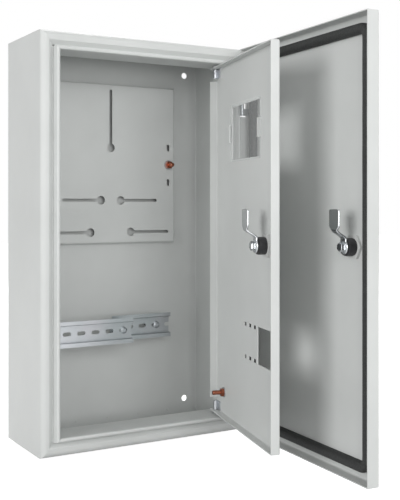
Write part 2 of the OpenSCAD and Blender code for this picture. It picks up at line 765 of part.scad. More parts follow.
module inner_door() color(paint) on_inner_door() {
    difference() {
        face_at(inner_face) tray(inner_w, inner_h, inner_d, inner_bend_r);
        for (z = [-1, 1]) {
            translate([inner_axis[0] - barrel_od / 2 - cut, sheet_t - inner_face,
                       z > 0 ? inner_h / 2 - inner_notch_h : -inner_h / 2 + inner_bend_r])
                cube([barrel_od + inner_pin_x, inner_d, inner_notch_h - inner_bend_r]);
            translate([inner_axis[0], inner_axis[1], z * inner_h / 2 - sheet_t - cut])
                cylinder(d = flange_hole_d, h = 2 * (sheet_t + cut));
        }
        face_at(inner_face - sheet_t - cut) linear_extrude(sheet_t + 2 * cut) {
            translate([window_x, window_z]) {
                square([window_w, window_h], center = true);
                for (x = [-1, 1], z = [-1, 1])
                    translate([x * window_w / 2, z * window_h / 2]) circle(d = relief_d);
            }
            translate([breaker_x - open_modules * module_w, breaker_z - breaker_h / 2])
                square([open_modules * module_w, breaker_h]);
            for (i = [0:1:closed_modules - 1], z = [-1, 1])
                translate([breaker_x + module_gap + (i + 0.5) * module_w,
                           breaker_z + z * (breaker_h - perf_h) / 2])
                    square([perf_w, perf_h], center = true);
            translate([inner_w / 2 - door_stud_x, -inner_h / 2 + door_stud_z])
                circle(d = earth_hole_d);
        }
        lock_hole(inner_face, inner_lock_x);
    }
    for (s = [-1, 1]) pane_tab(s);
}

// Tab at one side of the window, bent up from the face and over the edge of the pane
module pane_tab(s) translate([window_x + s * (window_w / 2 + tab_gap), -inner_face, window_z])
    mirror([s < 0 ? 1 : 0, 0, 0]) translate([0, 0, -tab_h / 2]) {
        translate([0, sheet_t / 2, 0]) cube([tab_t, sheet_t / 2 + tab_out, tab_h]);
        translate([-tab_gap, sheet_t + tab_out - tab_t, 0]) cube([tab_gap + tab_t, tab_t, tab_h]);
    }

pane_edge = 2.6;

// Clear pane behind the window, bowed a little towards the meter
module meter_window() color([0.85, 0.9, 0.92, 0.4]) on_inner_door()
    translate([window_x, sheet_t - inner_face, window_z - window_h / 2 - pane_edge])
        linear_extrude(window_h + 2 * pane_edge) {
            w = window_w / 2 + pane_edge;
            polygon(concat(
                [for (i = [-8:8]) let (s = i / 8) [s * w, pane_bow * (1 - s * s)]],
                [for (i = [8:-1:-8]) let (s = i / 8) [s * w, pane_bow * (1 - s * s) + pane_t]]));
        }

module at_door_earth() on_inner_door() translate([inner_w / 2 - door_stud_x, sheet_t - inner_face,
    -inner_h / 2 + door_stud_z]) rotate([-90, 0, 0]) children();
module door_earth_stud() at_door_earth() earth_stud(stud_l);
module door_earth_washer() at_door_earth() earth_washer();
module door_earth_nut() color(copper) at_door_earth() translate([0, 0, washer_t])
    hex_nut(earth_nut_af, earth_nut_t, stud_d);

// Pin of an inner hinge, riveted into the cap's return flange and reaching into the barrel
module inner_pin(s) color(zinc) mirror([0, 0, s < 0 ? 1 : 0])
    translate([inner_axis[0], inner_axis[1], box_h / 2 - cap_rim]) {
        translate([0, 0, -pin_reach]) cylinder(d = inner_pin_d, h = pin_reach + sheet_t);
        translate([0, 0, sheet_t]) cylinder(d1 = rivet_d, d2 = inner_pin_d, h = rivet_t);
    }
module inner_hinge_upper_pin() inner_pin(1);
module inner_hinge_lower_pin() inner_pin(-1);

// Washer on the pin that keeps the door off the flange
module inner_washer(s) color(zinc) mirror([0, 0, s < 0 ? 1 : 0])
    translate([inner_axis[0], inner_axis[1], box_h / 2 - cap_rim - hinge_washer_t]) difference() {
        cylinder(d = hinge_washer_d, h = hinge_washer_t);
        translate([0, 0, -cut]) cylinder(d = inner_pin_d, h = hinge_washer_t + 2 * cut);
    }
module inner_hinge_upper_washer() inner_washer(1);
module inner_hinge_lower_washer() inner_washer(-1);

module inner_barrel(s) color(zinc) on_inner_door() mirror([0, 0, s < 0 ? 1 : 0])
    translate([inner_axis[0], inner_axis[1], inner_h / 2 - inner_bend_r - barrel_l]) difference() {
        union() {
            cylinder(d = barrel_od, h = barrel_l);
            translate([-barrel_leaf_w, sheet_t - inner_pin_y, 0])
                cube([barrel_leaf_w, barrel_leaf_t, barrel_l]);
        }
        translate([0, 0, -cut]) cylinder(d = inner_pin_d + 2 * pin_play, h = barrel_l + 2 * cut);
    }
module inner_hinge_upper_barrel() inner_barrel(1);
module inner_hinge_lower_barrel() inner_barrel(-1);

/* Locks */

barrel_flat = 19;
barrel_hole_play = 0.1;
collar_d = 26;
collar_t = 3;
collar_slope = 1;
core_d = 13;
core_square = 8;
core_sink = 0.5;
core_end = cam_base_z + cam_t;
socket_wall = 2;
socket_depth = 6;
socket_bar_w = 2;
socket_pin_d = 3;
thread_d = 5;
thread_depth = 6;
hub_d = 17;
cam_neck_w = 11;
crank_start = 11;
crank_end = 19;
crank_land = 2;
blade_start = 25;
blade_chamfer = 3;
bolt_flange_d = 14;
bolt_flange_t = 1.2;
bolt_head_af = 10;
bolt_head_t = 4;

// Places lock parts: z = 0 on the inside of the door's sheet, z towards the inside
module at_lock(face, x) translate([x, sheet_t - face, 0]) rotate([-90, 0, 0]) children();

// Circle with two flats
module flatted(d, flat) intersection() {
    circle(d = d);
    square([d + cut, flat], center = true);
}

// Hole with two flats that keep the barrel from turning
module lock_hole(face, x) at_lock(face, x) translate([0, 0, -sheet_t - cut])
    linear_extrude(sheet_t + 2 * cut)
        flatted(barrel_d + 2 * barrel_hole_play, barrel_flat + 2 * barrel_hole_play);

module lock_barrel() color(black) difference() {
    union() {
        translate([0, 0, -sheet_t - collar_t])
            cylinder(d1 = collar_d - 2 * collar_slope, d2 = collar_d, h = collar_t);
        translate([0, 0, -sheet_t]) linear_extrude(sheet_t + cam_base_z - core_sink)
            flatted(barrel_d, barrel_flat);
    }
    translate([0, 0, -sheet_t - collar_t - cut])
        cylinder(d = core_d + 2 * pin_play, h = sheet_t + collar_t + cam_base_z + 2 * cut);
}

module lock_nut() color([0.8, 0.81, 0.8]) difference() {
    cylinder(d = nut_af / cos(30), h = nut_t, $fn = 6);
    translate([0, 0, -cut]) linear_extrude(nut_t + 2 * cut) flatted(barrel_d, barrel_flat);
}

// Turning core: driver socket at the front, square stub and thread hole at the back
module lock_core() color(zinc) difference() {
    union() {
        translate([0, 0, core_sink - sheet_t - collar_t])
            cylinder(d = core_d, h = sheet_t + collar_t - core_sink + cam_base_z);
        translate([0, 0, cam_base_z + cam_t / 2])
            cube([core_square, core_square, cam_t], center = true);
    }
    translate([0, 0, -sheet_t - collar_t]) difference() {
        cylinder(d = core_d - 2 * socket_wall, h = socket_depth);
        translate([-socket_bar_w / 2, 0, -cut]) cube([socket_bar_w, core_d, socket_depth + 2 * cut]);
        cylinder(d = socket_pin_d, h = socket_depth);
    }
    translate([0, 0, cam_base_z - thread_depth])
        cylinder(d = thread_d, h = thread_depth + cam_t + cut);
}

// Cam: boss plate on the square, neck, crank and wide blade, pointing along +y
module lock_cam() color(zinc) difference() {
    union() {
        translate([0, 0, cam_base_z]) cylinder(d = hub_d, h = cam_t);
        translate([-cam_neck_w / 2, 0, cam_base_z]) rotate([90, 0, 90]) linear_extrude(cam_neck_w)
            polygon([[0, 0], [crank_start, 0], [crank_end, cam_crank],
                     [crank_end + crank_land, cam_crank], [crank_end + crank_land, cam_crank + cam_t],
                     [crank_end - cam_t / 2, cam_crank + cam_t], [crank_start - cam_t / 2, cam_t],
                     [0, cam_t]]);
        translate([0, 0, cam_base_z + cam_crank]) linear_extrude(cam_t)
            polygon([[-cam_neck_w / 2, crank_end], [-cam_neck_w / 2, crank_end + crank_land],
                     [-cam_w / 2, blade_start], [-cam_w / 2, cam_reach - blade_chamfer],
                     [blade_chamfer - cam_w / 2, cam_reach], [cam_w / 2 - blade_chamfer, cam_reach],
                     [cam_w / 2, cam_reach - blade_chamfer], [cam_w / 2, blade_start],
                     [cam_neck_w / 2, crank_end + crank_land], [cam_neck_w / 2, crank_end]]);
    }
    translate([0, 0, cam_base_z + cam_t / 2])
        cube([core_square, core_square, cam_t + 2 * cut], center = true);
}

module lock_bolt() color(zinc) {
    translate([0, 0, core_end - thread_depth - cam_t / 2])
        cylinder(d = thread_d, h = thread_depth + cam_t / 2);
    translate([0, 0, core_end]) cylinder(d = bolt_flange_d, h = bolt_flange_t);
    translate([0, 0, core_end + bolt_flange_t])
        cylinder(d = bolt_head_af / cos(30), h = bolt_head_t, $fn = 6);
}

module at_outer_lock() on_outer_door() at_lock(outer_face, outer_lock_x) rotate([0, 0, 180])
    children();
module at_inner_lock() on_inner_door() at_lock(inner_face, inner_lock_x) rotate([0, 0, 180])
    children();
module outer_lock_barrel() at_outer_lock() lock_barrel();
module outer_lock_nut() at_outer_lock() lock_nut();
module outer_lock_core() at_outer_lock() lock_core();
module outer_lock_cam() at_outer_lock() lock_cam();
module outer_lock_bolt() at_outer_lock() lock_bolt();
module inner_lock_barrel() at_inner_lock() lock_barrel();
module inner_lock_nut() at_inner_lock() lock_nut();
module inner_lock_core() at_inner_lock() lock_core();
module inner_lock_cam() at_inner_lock() lock_cam();
module inner_lock_bolt() at_inner_lock() lock_bolt();

casing_wrap();
top_cap();
bottom_cap();
meter_plate();
plate_earth_stud();
plate_earth_washer();
plate_earth_nut();
rear_rail();
front_rail();
rail_wall_posts();
rail_spacer();
rail_screws();
outer_hinge_upper_leaf();
outer_hinge_lower_leaf();
outer_door();
outer_door_seal();
outer_hinge_upper_eyes();
outer_hinge_lower_eyes();
outer_hinge_upper_pin();
outer_hinge_lower_pin();
outer_lock_barrel();
outer_lock_nut();
outer_lock_core();
outer_lock_cam();
outer_lock_bolt();
inner_hinge_upper_washer();
inner_hinge_lower_washer();
inner_hinge_upper_pin();
inner_hinge_lower_pin();
inner_door();
inner_hinge_upper_barrel();
inner_hinge_lower_barrel();
meter_window();
door_earth_stud();
door_earth_washer();
door_earth_nut();
inner_lock_barrel();
inner_lock_nut();
inner_lock_core();
inner_lock_cam();
inner_lock_bolt();
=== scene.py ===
"""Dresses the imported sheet-steel meter box: finishes, small formed pieces, studio and camera."""

import json
import logging
import math
from dataclasses import dataclass, field
from enum import Enum

import bmesh
import bpy
import numpy as np
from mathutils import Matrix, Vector

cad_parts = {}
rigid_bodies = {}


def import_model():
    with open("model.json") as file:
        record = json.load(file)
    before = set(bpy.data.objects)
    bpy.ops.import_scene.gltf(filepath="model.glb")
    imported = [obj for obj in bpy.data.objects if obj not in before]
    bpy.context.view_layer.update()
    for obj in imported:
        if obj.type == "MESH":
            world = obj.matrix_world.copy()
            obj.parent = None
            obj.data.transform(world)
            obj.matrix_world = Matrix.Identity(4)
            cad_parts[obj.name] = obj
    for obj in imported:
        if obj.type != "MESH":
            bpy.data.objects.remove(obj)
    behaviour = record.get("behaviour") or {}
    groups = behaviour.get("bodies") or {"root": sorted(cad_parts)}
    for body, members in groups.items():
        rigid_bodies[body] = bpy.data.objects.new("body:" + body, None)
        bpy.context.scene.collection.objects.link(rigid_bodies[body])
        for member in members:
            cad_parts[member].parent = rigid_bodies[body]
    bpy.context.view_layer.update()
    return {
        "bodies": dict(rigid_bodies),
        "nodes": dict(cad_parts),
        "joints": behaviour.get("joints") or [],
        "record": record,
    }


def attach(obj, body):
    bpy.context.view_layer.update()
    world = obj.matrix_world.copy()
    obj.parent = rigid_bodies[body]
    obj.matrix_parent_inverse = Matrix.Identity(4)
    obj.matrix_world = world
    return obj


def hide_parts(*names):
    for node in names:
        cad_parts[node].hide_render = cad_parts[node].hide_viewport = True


log = logging.getLogger("meter_box")

MM = 0.001
TURN = 2.0 * math.pi
# Points closer than this are one point
MERGE = 1e-6
# Edges shorter than this are taken out
SHORT_EDGE = 1e-7
# Distance nearer than which the camera clips, and the width of its sensor in millimetres
NEAR = 0.01
SENSOR_MM = 36.0


class Body(Enum):
    """Bodies of the box that pieces ride on."""

    CASING = "casing"
    OUTER_DOOR = "outer_door"
    OUTER_CAM = "outer_cam"
    INNER_DOOR = "inner_door"
    INNER_CAM = "inner_cam"


class Slot(Enum):
    """Material slots of the record."""

    PAINT = "paint"
    ZINC = "zinc"
    CHROME = "chrome"
    COPPER = "copper"
    BLACK = "black"
    FOAM = "foam"
    NUT = "nut"
    CLEAR = "clear"


# ---------------------------------------------------------------- meshes


def surface(name: str, points: np.ndarray, loop_u: bool = False, loop_v: bool = False,
            smooth: bool = True) -> bpy.types.Object:
    """Makes a mesh object from a grid of points; neighbouring grid points become quads.

    Args:
        name: the piece's name.
        points: array of shape (nu, nv, 3), in metres, in the row frame.
        loop_u: joins the last row to the first.
        loop_v: joins the last column to the first.
        smooth: shades the surface smooth.

    Returns:
        The object, at the origin, with doubles merged and faces pointing outwards.
    """
    nu, nv, _ = points.shape
    u = np.arange(nu if loop_u else nu - 1)
    v = np.arange(nv if loop_v else nv - 1)
    a, b = np.meshgrid(u, v, indexing="ij")
    a, b = a.ravel(), b.ravel()
    c, d = (a + 1) % nu, (b + 1) % nv
    quads = np.stack([a * nv + b, c * nv + b, c * nv + d, a * nv + d], axis=1)
    mesh = bpy.data.meshes.new(name)
    mesh.vertices.add(nu * nv)
    mesh.vertices.foreach_set("co", points.astype(np.float32).ravel())
    mesh.loops.add(quads.size)
    mesh.loops.foreach_set("vertex_index", quads.astype(np.int32).ravel())
    mesh.polygons.add(len(quads))
    mesh.polygons.foreach_set("loop_start", np.arange(0, quads.size, 4, dtype=np.int32))
    mesh.update(calc_edges=True)
    solid = bmesh.new()
    solid.from_mesh(mesh)
    bmesh.ops.remove_doubles(solid, verts=solid.verts, dist=MERGE)
    bmesh.ops.dissolve_degenerate(solid, edges=solid.edges, dist=SHORT_EDGE)
    bmesh.ops.recalc_face_normals(solid, faces=solid.faces)
    solid.to_mesh(mesh)
    solid.free()
    mesh.polygons.foreach_set("use_smooth", np.full(len(mesh.polygons), smooth))
    mesh.update()
    piece = bpy.data.objects.new(name, mesh)
    bpy.context.scene.collection.objects.link(piece)
    return piece


def smooth_step(t: np.ndarray, low: float, high: float) -> np.ndarray:
    """Smooth step: s squared times (3 - 2 s), with s the clipped share of t from low to high."""
    s = np.clip((t - low) / (high - low), 0.0, 1.0)
    return s * s * (3.0 - 2.0 * s)


def threaded(radius: float, depth: float, pitch: float, low: float, high: float,
             steps: int = 32, per_turn: int = 8) -> np.ndarray:
    """Thread about +Z: its radius falls by depth along a triangle wave, one pitch for each turn.

    The wave is faded to nothing at both ends, and the two end rings shrink to a point.

    Args:
        radius: crest radius.
        depth: depth of the thread.
        pitch: rise for one turn.
        low: lower end.
        high: upper end.
        steps: points round.
        per_turn: rings for each pitch.

    Returns:
        Grid of shape (n, steps, 3), closed in its second direction.
    """
    n = max(int((high - low) / pitch * per_turn), 4)
    h = np.linspace(low, high, n)[:, None]
    a = np.linspace(0.0, TURN, steps, endpoint=False)[None, :]
    phase = (h / pitch - a / TURN) % 1.0
    wave = np.abs(2.0 * phase - 1.0)
    fade = np.clip(np.minimum(h - low, high - h) / (0.6 * pitch), 0.0, 1.0)
    r = radius - depth * (1.0 - wave * fade)
    body = np.stack([r * np.cos(a), r * np.sin(a), np.broadcast_to(h, r.shape)], -1)
    ends = [np.broadcast_to([0.0, 0.0, z], (1, steps, 3)) for z in (low, high)]
    return np.concatenate([ends[0], body, ends[1]])


def rounded_rectangle(half_x: float, half_z: float, radius: float, steps: int = 10) -> np.ndarray:
    """Closed path round a rectangle with arcs at its corners, and the outward normals on it.

    Args:
        half_x: half of the width.
        half_z: half of the height.
        radius: radius of the corners.
        steps: points on each corner.

    Returns:
        Array of shape (n, 4): x, z, normal x, normal z.
    """
    out = []
    for corner, (sx, sz) in enumerate(((1, 1), (-1, 1), (-1, -1), (1, -1))):
        a = np.linspace(0.0, TURN / 4, steps) + corner * TURN / 4
        cx, cz = sx * (half_x - radius), sz * (half_z - radius)
        out.append(np.stack([cx + radius * np.cos(a), cz + radius * np.sin(a),
                             np.cos(a), np.sin(a)], -1))
    return np.concatenate(out)


@dataclass(frozen=True)
class Swing:
    """Where a door stands: the hinge axis, and the angle from closed to the stored pose."""

    x: float
    y: float
    angle: float

    @staticmethod
    def of(joints: list, name: str) -> "Swing":
        """Reads a door's hinge from the record; its lowest value is the closed door."""
        joint = next(j for j in joints if j["name"] == name)
        return Swing(joint["pos_m"][0], joint["pos_m"][1], math.radians(-joint["range_deg"][0]))

    def open(self, points: np.ndarray) -> np.ndarray:
        """Turns points of the closed door about the hinge axis to the stored pose."""
        c, s = math.cos(self.angle), math.sin(self.angle)
        p = points - np.array([self.x, self.y, 0.0])
        turned = np.stack([p[..., 0] * c - p[..., 1] * s, p[..., 0] * s + p[..., 1] * c,
                           p[..., 2]], -1)
        return turned + np.array([self.x, self.y, 0.0])


# ---------------------------------------------------------------- finishes


class Graph:
    """Small helper that adds and joins shader nodes in one tree."""

    def __init__(self, tree: bpy.types.NodeTree) -> None:
        """Keeps the tree."""
        self.tree = tree

    def add(self, kind: str, **values: object) -> bpy.types.Node:
        """Adds a node; values set its properties, or its inputs where the name is an input's."""
        node = self.tree.nodes.new(kind)
        for key, value in values.items():
            if hasattr(node, key):
                setattr(node, key, value)
            else:
                node.inputs[key.replace("_", " ")].default_value = value
        return node

    def join(self, source: bpy.types.NodeSocket, target: bpy.types.NodeSocket) -> None:
        """Links an output to an input."""
        self.tree.links.new(source, target)


def new_group(name: str, inputs: dict[str, float], outputs: dict[str, str]) -> tuple[
        bpy.types.NodeTree, Graph, bpy.types.Node, bpy.types.Node]:
    """Starts a node group with float inputs and the named outputs.

    Args:
        name: the group's name.
        inputs: default value of each float input.
        outputs: socket type of each output.

    Returns:
        The group, its graph, its input node and its output node.
    """
    tree = bpy.data.node_groups.new(name, "ShaderNodeTree")
    for key, value in inputs.items():
        socket = tree.interface.new_socket(name=key, in_out="INPUT", socket_type="NodeSocketFloat")
        socket.default_value = value
    for key, kind in outputs.items():
        tree.interface.new_socket(name=key, in_out="OUTPUT", socket_type=kind)
    return tree, Graph(tree), tree.nodes.new("NodeGroupInput"), tree.nodes.new("NodeGroupOutput")


def skin_group() -> bpy.types.NodeTree:
    """Fine skin of a coating: two noises in object space, as a height and a haze mask."""
    tree, g, given, out = new_group(
        "coating_skin", {"Scale": 900.0},
        {"Height": "NodeSocketFloat", "Haze": "NodeSocketFloat"})
    place = g.add("ShaderNodeTexCoord")
    fine = g.add("ShaderNodeTexNoise", Detail=2.0, Roughness=0.5)
    g.join(place.outputs["Object"], fine.inputs["Vector"])
    g.join(given.outputs["Scale"], fine.inputs["Scale"])
    broad = g.add("ShaderNodeTexNoise", Scale=9.0, Detail=3.0, Roughness=0.55)
    g.join(place.outputs["Object"], broad.inputs["Vector"])
    g.join(fine.outputs["Fac"], out.inputs["Height"])
    g.join(broad.outputs["Fac"], out.inputs["Haze"])
    return tree


def grain_group() -> bpy.types.NodeTree:
    """Drawn or rolled metal: a noise stretched along X, as a height and a streak mask."""
    tree, g, given, out = new_group(
        "rolled_grain", {"Stretch": 12.0, "Scale": 260.0},
        {"Height": "NodeSocketFloat", "Streak": "NodeSocketFloat"})
    place = g.add("ShaderNodeTexCoord")
    split = g.add("ShaderNodeSeparateXYZ")
    g.join(place.outputs["Object"], split.inputs["Vector"])
    thin = g.add("ShaderNodeMath", operation="DIVIDE")
    g.join(split.outputs["X"], thin.inputs[0])
    g.join(given.outputs["Stretch"], thin.inputs[1])
    whole = g.add("ShaderNodeCombineXYZ")
    g.join(thin.outputs["Value"], whole.inputs["X"])
    g.join(split.outputs["Y"], whole.inputs["Y"])
    g.join(split.outputs["Z"], whole.inputs["Z"])
    noise = g.add("ShaderNodeTexNoise", Detail=4.0, Roughness=0.6)
    g.join(whole.outputs["Vector"], noise.inputs["Vector"])
    g.join(given.outputs["Scale"], noise.inputs["Scale"])
    g.join(noise.outputs["Fac"], out.inputs["Height"])
    g.join(noise.outputs["Fac"], out.inputs["Streak"])
    return tree


def start_material(name: str) -> tuple[bpy.types.Material, Graph, bpy.types.Node]:
    """Makes a node material and returns it with its graph and its Principled shader."""
    material = bpy.data.materials.new(name)
    material.use_nodes = True
    graph = Graph(material.node_tree)
    return material, graph, material.node_tree.nodes["Principled BSDF"]


def mixed_colour(graph: Graph, low: tuple, high: tuple, mask: bpy.types.NodeSocket,
                 span: tuple[float, float]) -> bpy.types.Node:
    """Colour that goes from low to high as a mask goes over a span."""
    ramp = graph.add("ShaderNodeMapRange", From_Min=span[0], From_Max=span[1])
    graph.join(mask, ramp.inputs["Value"])
    mix = graph.add("ShaderNodeMix", data_type="RGBA")
    mix.inputs[6].default_value = (*low, 1.0)
    mix.inputs[7].default_value = (*high, 1.0)
    graph.join(ramp.outputs["Result"], mix.inputs[0])
    return mix


def bump(graph: Graph, shader: bpy.types.Node, height: bpy.types.NodeSocket, strength: float,
         distance: float) -> None:
    """Feeds a height through a Bump node into a shader's normal."""
    node = graph.add("ShaderNodeBump", Strength=strength, Distance=distance)
    graph.join(height, node.inputs["Height"])
    graph.join(node.outputs["Normal"], shader.inputs["Normal"])


@dataclass(frozen=True)
class PowderCoat:
    """Light grey powder coat: soft gloss, fine orange peel, faint haze."""

    low: tuple = (0.585, 0.6, 0.59)
    high: tuple = (0.63, 0.645, 0.635)
    gloss: tuple = (0.34, 0.44)
    specular: float = 0.22
    peel: float = 0.12
    peel_size: float = 0.0004
    scale: float = 520.0
    haze_span: tuple = (0.3, 0.7)

    def material(self, groups: dict) -> bpy.types.Material:
        """Builds the material."""
        material, g, shader = start_material("powder_coat")
        skin = g.add("ShaderNodeGroup", node_tree=groups["skin"], Scale=self.scale)
        tint = mixed_colour(g, self.low, self.high, skin.outputs["Haze"], self.haze_span)
        g.join(tint.outputs[2], shader.inputs["Base Color"])
        rough = g.add("ShaderNodeMapRange", To_Min=self.gloss[0], To_Max=self.gloss[1])
        g.join(skin.outputs["Haze"], rough.inputs["Value"])
        g.join(rough.outputs["Result"], shader.inputs["Roughness"])
        shader.inputs["Specular IOR Level"].default_value = self.specular
        bump(g, shader, skin.outputs["Height"], self.peel, self.peel_size)
        return material


@dataclass(frozen=True)
class Plated:
    """Plated steel: metallic, with a rolled grain and a colour that drifts."""

    name: str
    low: tuple
    high: tuple
    gloss: tuple = (0.22, 0.4)
    grain: float = 0.1
    grain_size: float = 0.0003
    stretch: float = 12.0
    drift_scale: float = 300.0
    drift_span: tuple = (0.35, 0.65)

    def material(self, groups: dict) -> bpy.types.Material:
        """Builds the material."""
        material, g, shader = start_material(self.name)
        grain = g.add("ShaderNodeGroup", node_tree=groups["grain"], Stretch=self.stretch)
        skin = g.add("ShaderNodeGroup", node_tree=groups["skin"], Scale=self.drift_scale)
        tint = mixed_colour(g, self.low, self.high, skin.outputs["Haze"], self.drift_span)
        g.join(tint.outputs[2], shader.inputs["Base Color"])
        shader.inputs["Metallic"].default_value = 1.0
        rough = g.add("ShaderNodeMapRange", To_Min=self.gloss[0], To_Max=self.gloss[1])
        g.join(grain.outputs["Streak"], rough.inputs["Value"])
        g.join(rough.outputs["Result"], shader.inputs["Roughness"])
        bump(g, shader, grain.outputs["Height"], self.grain, self.grain_size)
        return material


@dataclass(frozen=True)
class Moulded:
    """Moulded plastic or foam: matte skin with fine pits."""

    name: str
    low: tuple
    high: tuple
    gloss: tuple = (0.45, 0.6)
    pits: float = 0.2
    pit_size: float = 0.0005
    scale: float = 700.0
    pit_span: tuple = (0.3, 0.7)

    def material(self, groups: dict) -> bpy.types.Material:
        """Builds the material."""
        material, g, shader = start_material(self.name)
        skin = g.add("ShaderNodeGroup", node_tree=groups["skin"], Scale=self.scale)
        tint = mixed_colour(g, self.low, self.high, skin.outputs["Height"], self.pit_span)
        g.join(tint.outputs[2], shader.inputs["Base Color"])
        rough = g.add("ShaderNodeMapRange", To_Min=self.gloss[0], To_Max=self.gloss[1])
        g.join(skin.outputs["Haze"], rough.inputs["Value"])
        g.join(rough.outputs["Result"], shader.inputs["Roughness"])
        bump(g, shader, skin.outputs["Height"], self.pits, self.pit_size)
        return material


@dataclass(frozen=True)
class ClearSheet:
    """Clear plastic sheet: see-through with a glossy, faintly hazed surface."""

    low: tuple = (0.9, 0.93, 0.93)
    high: tuple = (0.95, 0.97, 0.97)
    alpha: tuple = (0.1, 0.16)
    gloss: float = 0.06
    scale: float = 60.0

    def material(self, groups: dict) -> bpy.types.Material:
        """Builds the material."""
        material, g, shader = start_material("clear_sheet")
        skin = g.add("ShaderNodeGroup", node_tree=groups["skin"], Scale=self.scale)
        tint = mixed_colour(g, self.low, self.high, skin.outputs["Haze"], (0.0, 1.0))
        g.join(tint.outputs[2], shader.inputs["Base Color"])
        see = g.add("ShaderNodeMapRange", To_Min=self.alpha[0], To_Max=self.alpha[1])
        g.join(skin.outputs["Haze"], see.inputs["Value"])
        g.join(see.outputs["Result"], shader.inputs["Alpha"])
        shader.inputs["Roughness"].default_value = self.gloss
        return material


class Finishes:
    """All finishes of the box, by material slot."""

    def __init__(self) -> None:
        """Builds the shared groups, then each material once."""
        groups = {"skin": skin_group(), "grain": grain_group()}
        recipes = {
            Slot.PAINT: PowderCoat(),
            Slot.ZINC: Plated("bright_zinc", (0.41, 0.45, 0.465), (0.5, 0.5, 0.525), (0.3, 0.46)),
            Slot.CHROME: Plated("polished_plate", (0.53, 0.55, 0.57), (0.62, 0.63, 0.64),
                                gloss=(0.12, 0.24), grain=0.05, stretch=1.0),
            Slot.COPPER: Plated("copper_plate", (0.3, 0.1, 0.06), (0.4, 0.15, 0.09),
                                stretch=1.0),
            Slot.BLACK: Moulded("black_moulding", (0.012, 0.012, 0.013), (0.022, 0.022, 0.024)),
            Slot.FOAM: Moulded("seal_foam", (0.012, 0.013, 0.013), (0.03, 0.032, 0.031),
                               gloss=(0.7, 0.85), pits=0.6, scale=520.0),
            Slot.NUT: Moulded("grey_moulding", (0.53, 0.54, 0.53), (0.59, 0.6, 0.59)),
            Slot.CLEAR: ClearSheet(),
        }
        self.materials = {slot: recipe.material(groups) for slot, recipe in recipes.items()}

    def dress_frame(self, frame: dict) -> None:
        """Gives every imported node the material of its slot."""
        slots = {s["node"]: Slot(s["material_slot"]) for s in frame["record"]["subparts"]}
        for name, node in frame["nodes"].items():
            if not node.material_slots:
                node.data.materials.append(self.materials[slots[name]])
            for place in node.material_slots:
                place.material = self.materials[slots[name]]

    def put_on(self, piece: bpy.types.Object, slot: Slot, body: Body, *replaced: str) -> None:
        """Dresses a new piece, lets it ride on its body and hides the nodes it stands for."""
        piece.data.materials.clear()
        piece.data.materials.append(self.materials[slot])
        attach(piece, body.value)
        if replaced:
            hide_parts(*replaced)
        log.info("%s: %d faces on %s", piece.name, len(piece.data.polygons), body.value)


# ---------------------------------------------------------------- sub-assemblies


@dataclass
class FrontFold:
    """Deeper gutter for the folded front: pressed copies of the casing's pieces.

    With s the distance in from the gutter's outer edge, each point of a copy between the land and
    the crest moves back by depth times a smooth step over rise and down again over fall. Points
    further than reach from the land's face stay.
    """

    box: tuple[float, float, float] = (300.0, 130.0, 540.0)
    lands: tuple[float, float] = (10.0, 12.0)
    depth: float = 2.4
    rise: tuple[float, float] = (0.9, 5.4)
    fall: tuple[float, float] = (7.9, 8.7)
    reach: float = 6.0

    def pressed(self, points: np.ndarray) -> np.ndarray:
        """Moves points, in metres in the row frame, and gives them back."""
        x, y, z = (points / MM).T
        across = self.box[0] / 2 - np.abs(x) - self.lands[0]
        along = self.box[2] / 2 - np.abs(z) - self.lands[1]
        s = np.minimum(across, along)
        share = smooth_step(s, *self.rise) * (1.0 - smooth_step(s, *self.fall))
        near = np.abs(y + self.box[1]) < self.reach
        return np.stack([x, y + self.depth * share * near, z], -1) * MM

    def build(self, frame: dict, finishes: Finishes) -> None:
        """Presses a merged copy of each piece of the front, which then stands for its node."""
        for name in ("casing_wrap", "top_cap", "bottom_cap"):
            mesh = frame["nodes"][name].data.copy()
            solid = bmesh.new()
            solid.from_mesh(mesh)
            bmesh.ops.remove_doubles(solid, verts=solid.verts, dist=MERGE)
            points = self.pressed(np.array([v.co for v in solid.verts]))
            for vertex, point in zip(solid.verts, points):
                vertex.co = point
            solid.to_mesh(mesh)
            solid.free()
            mesh.update()
            piece = bpy.data.objects.new(f"pressed_{name}", mesh)
            bpy.context.scene.collection.objects.link(piece)
            finishes.put_on(piece, Slot.PAINT, Body.CASING, name)


